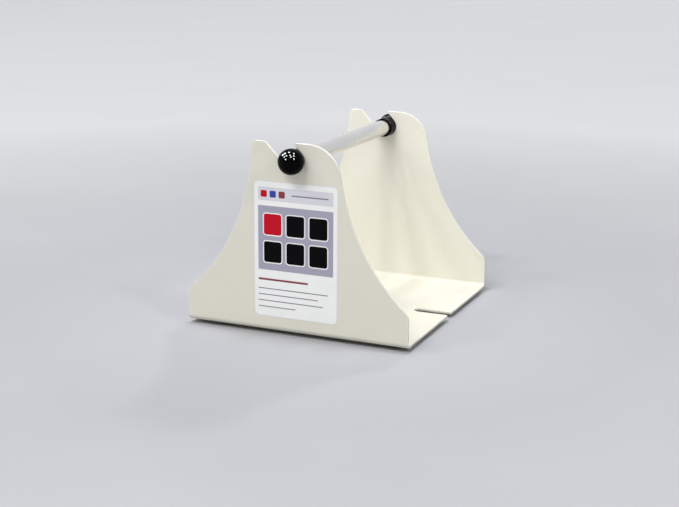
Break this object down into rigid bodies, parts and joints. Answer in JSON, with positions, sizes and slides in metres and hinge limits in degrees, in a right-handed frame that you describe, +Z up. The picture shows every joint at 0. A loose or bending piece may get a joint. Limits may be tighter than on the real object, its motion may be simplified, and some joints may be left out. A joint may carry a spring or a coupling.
{
  "type": "label roll holder",
  "caption": "Desk-top label roll holder: a bent sheet-steel bracket whose bell-shaped side plates have slanted open slots for a lift-out axle with ball knobs.",
  "frame": {"origin": "middle of the holder's footprint, on the surface that its feet stand on", "axes": "+Z up, Y along the axle with the front plate and its label at -Y, and the slots open towards -X"},
  "size_m": [0.1778, 0.2118, 0.1446],
  "materials": {
    "cream_powder_coat": "semi-gloss cream powder coat with a faint orange peel",
    "label_vinyl": "white printed sticker, satin",
    "foot_rubber": "matt black",
    "bushing_nylon": "satin black",
    "polished_rod": "polished, with fine turning marks",
    "ball_phenolic": "high-gloss black",
    "insert_brass": "machined"
  },
  "bodies": {
    "bracket": {"bracket": "cream_powder_coat", "front_label": "label_vinyl", "foot_front_left": "foot_rubber", "foot_front_right": "foot_rubber", "foot_rear_left": "foot_rubber", "foot_rear_right": "foot_rubber"},
    "bushings": {"front_bushing": "bushing_nylon", "rear_bushing": "bushing_nylon"},
    "axle": {"axle_rod": "polished_rod", "front_ball_knob": "ball_phenolic", "rear_ball_knob": "ball_phenolic", "front_knob_insert": "insert_brass", "rear_knob_insert": "insert_brass"}
  },
  "joints": [
    {"name": "axle_lift", "type": "slide", "parent": "bracket", "child": "bushings", "axis": [-0.7071, 0, 0.7071], "range_m": [0, 0.06]},
    {"name": "axle_spin", "type": "hinge", "parent": "bushings", "child": "axle", "pos_m": [0, 0, 0.1322], "axis": [0, 1, 0], "continuous": true}
  ]
}
